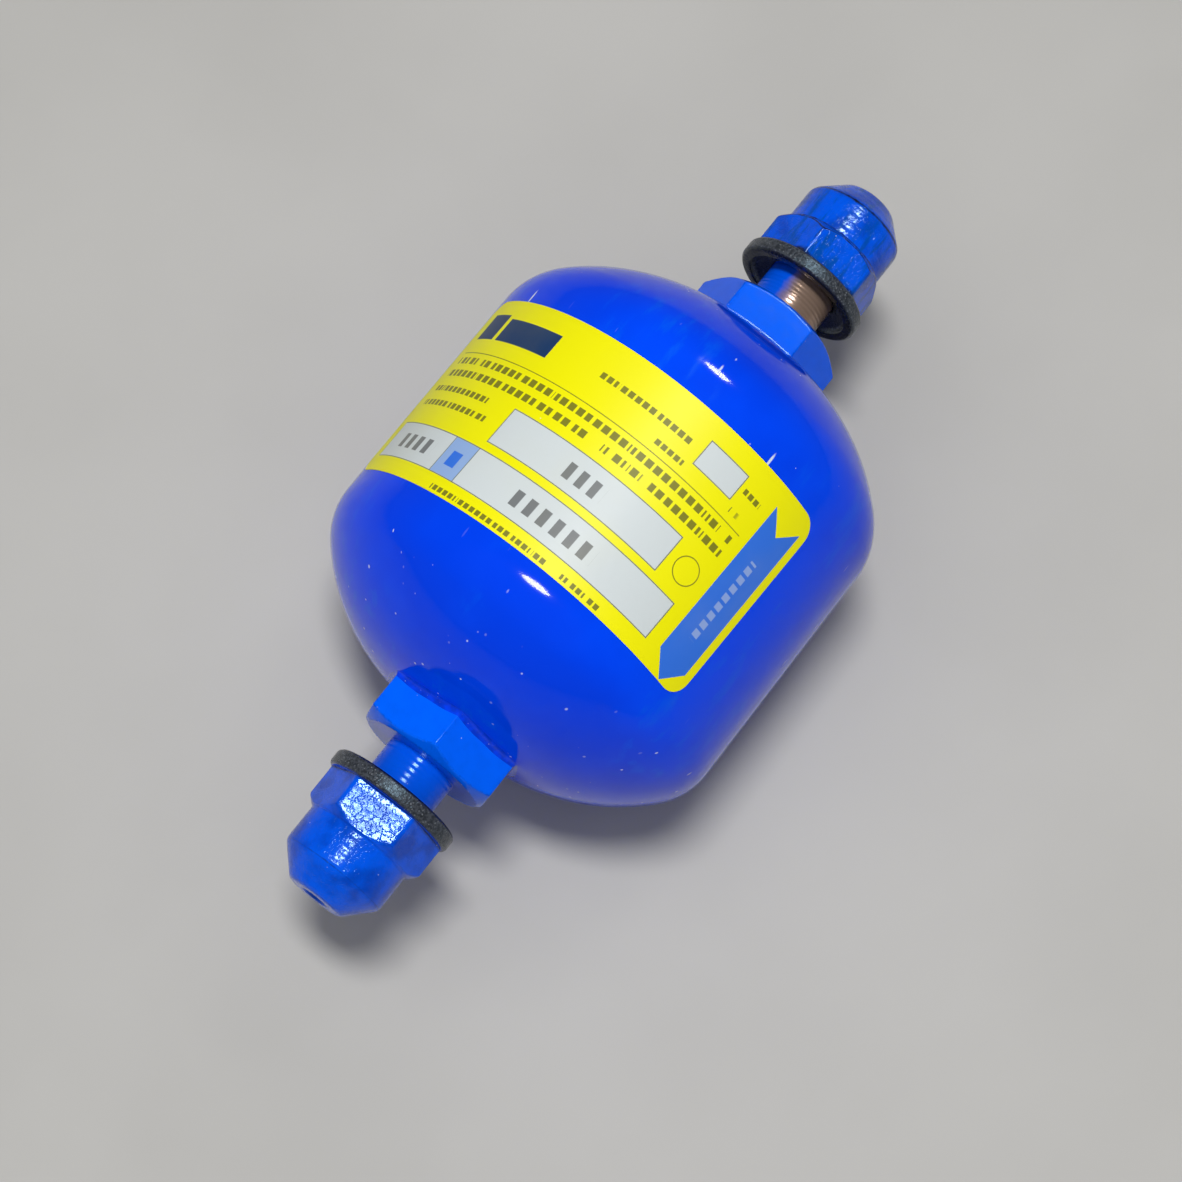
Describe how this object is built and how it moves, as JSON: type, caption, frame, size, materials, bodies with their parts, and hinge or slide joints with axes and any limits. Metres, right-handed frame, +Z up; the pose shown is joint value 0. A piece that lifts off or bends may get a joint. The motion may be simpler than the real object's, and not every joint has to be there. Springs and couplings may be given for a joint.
{
  "type": "filter drier",
  "caption": "Cylindrical steel filter drier with spun ends, male flare fittings on hexagons, a wrapped label and screw-on transport caps.",
  "frame": {"origin": "middle of the shell, on its axis", "axes": "+X along the axis in the direction of flow, towards the outlet fitting; +Z up, towards the middle of the label; +Y completes a right-handed frame"},
  "size_m": [0.1316, 0.065, 0.0651],
  "materials": {
    "blue_enamel": "gloss blue enamel on steel",
    "painted_fitting": "blue enamel on turned steel, thinner on the thread",
    "painted_braze": "blue enamel on a braze fillet",
    "label_film": "yellow printed film label with pale boxes and a blue arrow, no lettering",
    "cap_plastic": "black moulded plastic with a thin coat of blue overspray",
    "seal_rubber": "matt black rubber",
    "plain_steel": "bare pressed steel",
    "felt": "white polyester felt",
    "fibre": "moulded brown fibre",
    "desiccant": "bonded molecular sieve, matt and porous"
  },
  "bodies": {
    "drier": {"shell": "blue_enamel", "inlet_fitting": "painted_fitting", "outlet_fitting": "painted_fitting", "inlet_braze": "painted_braze", "outlet_braze": "painted_braze", "label": "label_film", "perforated_cup": "plain_steel", "outlet_screen": "plain_steel", "outlet_pad": "felt", "core_gasket": "fibre", "core_block": "desiccant", "inlet_pad": "felt", "spring_plate": "plain_steel", "spring": "plain_steel"},
    "inlet_seal": {"inlet_cap_seal": "seal_rubber"},
    "inlet_cap": {"inlet_cap": "cap_plastic"},
    "outlet_seal": {"outlet_cap_seal": "seal_rubber"},
    "outlet_cap": {"outlet_cap": "cap_plastic"}
  },
  "joints": [
    {"name": "inlet_cap_travel", "type": "slide", "parent": "drier", "child": "inlet_seal", "axis": [-1, 0, 0], "range_m": [0, 0.00573]},
    {"name": "inlet_cap_turn", "type": "hinge", "parent": "inlet_seal", "child": "inlet_cap", "pos_m": [-0.0564, 0, 0], "axis": [-1, 0, 0], "range_deg": [0, 1620]},
    {"name": "outlet_cap_travel", "type": "slide", "parent": "drier", "child": "outlet_seal", "axis": [1, 0, 0], "range_m": [0, 0.00573]},
    {"name": "outlet_cap_turn", "type": "hinge", "parent": "outlet_seal", "child": "outlet_cap", "pos_m": [0.0564, 0, 0], "axis": [1, 0, 0], "range_deg": [0, 1620]}
  ],
  "couplings": [
    {"joint": "inlet_cap_travel", "follows": "inlet_cap_turn", "m_per_rad": 0.00020213},
    {"joint": "outlet_cap_travel", "follows": "outlet_cap_turn", "m_per_rad": 0.00020213}
  ]
}
